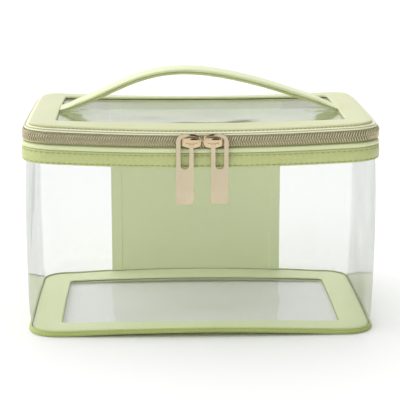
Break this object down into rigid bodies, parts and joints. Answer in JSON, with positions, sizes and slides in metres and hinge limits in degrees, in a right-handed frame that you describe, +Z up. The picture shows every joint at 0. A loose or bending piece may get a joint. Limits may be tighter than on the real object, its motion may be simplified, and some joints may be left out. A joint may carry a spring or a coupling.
{
  "type": "makeup train case",
  "caption": "Clear-walled makeup train case with leatherette frames, a zip lid hinged on the back panel, a strap handle and zip sliders with long flat pulls.",
  "frame": {"origin": "middle of the case's box on the surface it rests on", "axes": "+Z up, -Y towards the zip sliders at the front, +X to the right seen from the front"},
  "size_m": [0.2592, 0.175, 0.1884],
  "materials": {
    "leatherette": "pale yellow-green pebbled leatherette, satin",
    "leatherette_lining": "pale green leatherette, satin, inner layer",
    "stiffener_board": "matt stiffener sheet",
    "clear_pvc": "clear glossy flexible PVC",
    "zip_tape": "woven polyester zip tape",
    "zip_coil": "metallised light gold coil",
    "polished_gold": "polished light gold plating",
    "champagne_gold": "satin champagne gold plating"
  },
  "bodies": {
    "case": {"base_frame": "leatherette", "base_stiffener": "stiffener_board", "base_frame_lining": "leatherette_lining", "base_window": "clear_pvc", "base_binding": "leatherette", "wall_sheet": "clear_pvc", "back_panel": "leatherette", "back_panel_stiffener": "stiffener_board", "back_panel_lining": "leatherette_lining", "body_band": "leatherette", "band_rolled_edge": "leatherette", "body_band_lining": "leatherette_lining", "zip_tape_lower": "zip_tape", "zip_coil_lower": "zip_coil"},
    "lid": {"lid_frame": "leatherette", "lid_stiffener": "stiffener_board", "lid_window": "clear_pvc", "lid_frame_lining": "leatherette_lining", "lid_rolled_edge": "leatherette", "zip_tape_upper": "zip_tape", "zip_coil_upper": "zip_coil", "hinge_strip": "leatherette", "hinge_strip_lining": "leatherette_lining", "handle_ends": "leatherette"},
    "handle": {"handle_underside": "leatherette_lining", "handle_core": "stiffener_board", "handle_strap": "leatherette"},
    "left_zip_slider": {"left_slider": "polished_gold", "left_crown": "polished_gold"},
    "right_zip_slider": {"right_slider": "polished_gold", "right_crown": "polished_gold"},
    "left_zip_pull": {"left_pull": "champagne_gold"},
    "right_zip_pull": {"right_pull": "champagne_gold"}
  },
  "joints": [
    {"name": "lid_hinge", "type": "hinge", "parent": "case", "child": "lid", "pos_m": [0, 0.08785, 0.14765], "axis": [-1, 0, 0], "range_deg": [0, 180]},
    {"name": "handle_tilt", "type": "hinge", "parent": "lid", "child": "handle", "pos_m": [0, 0.00255, 0.155], "axis": [1, 0, 0], "range_deg": [-28, 28], "stiffness_Nm_per_rad": 0.05},
    {"name": "left_slider_travel", "type": "hinge", "parent": "case", "child": "left_zip_slider", "pos_m": [0, 1.71955, 0.14765], "axis": [0, 0, -1], "range_deg": [0, 2.8]},
    {"name": "right_slider_travel", "type": "hinge", "parent": "case", "child": "right_zip_slider", "pos_m": [0, 1.71955, 0.14765], "axis": [0, 0, 1], "range_deg": [0, 2.8]},
    {"name": "left_pull_swing", "type": "hinge", "parent": "left_zip_slider", "child": "left_zip_pull", "pos_m": [-0.0123, -0.08575, 0.14545], "axis": [0, 1, 0], "range_deg": [-5, 180]},
    {"name": "right_pull_swing", "type": "hinge", "parent": "right_zip_slider", "child": "right_zip_pull", "pos_m": [0.0123, -0.08575, 0.14545], "axis": [0, -1, 0], "range_deg": [-5, 180]}
  ]
}
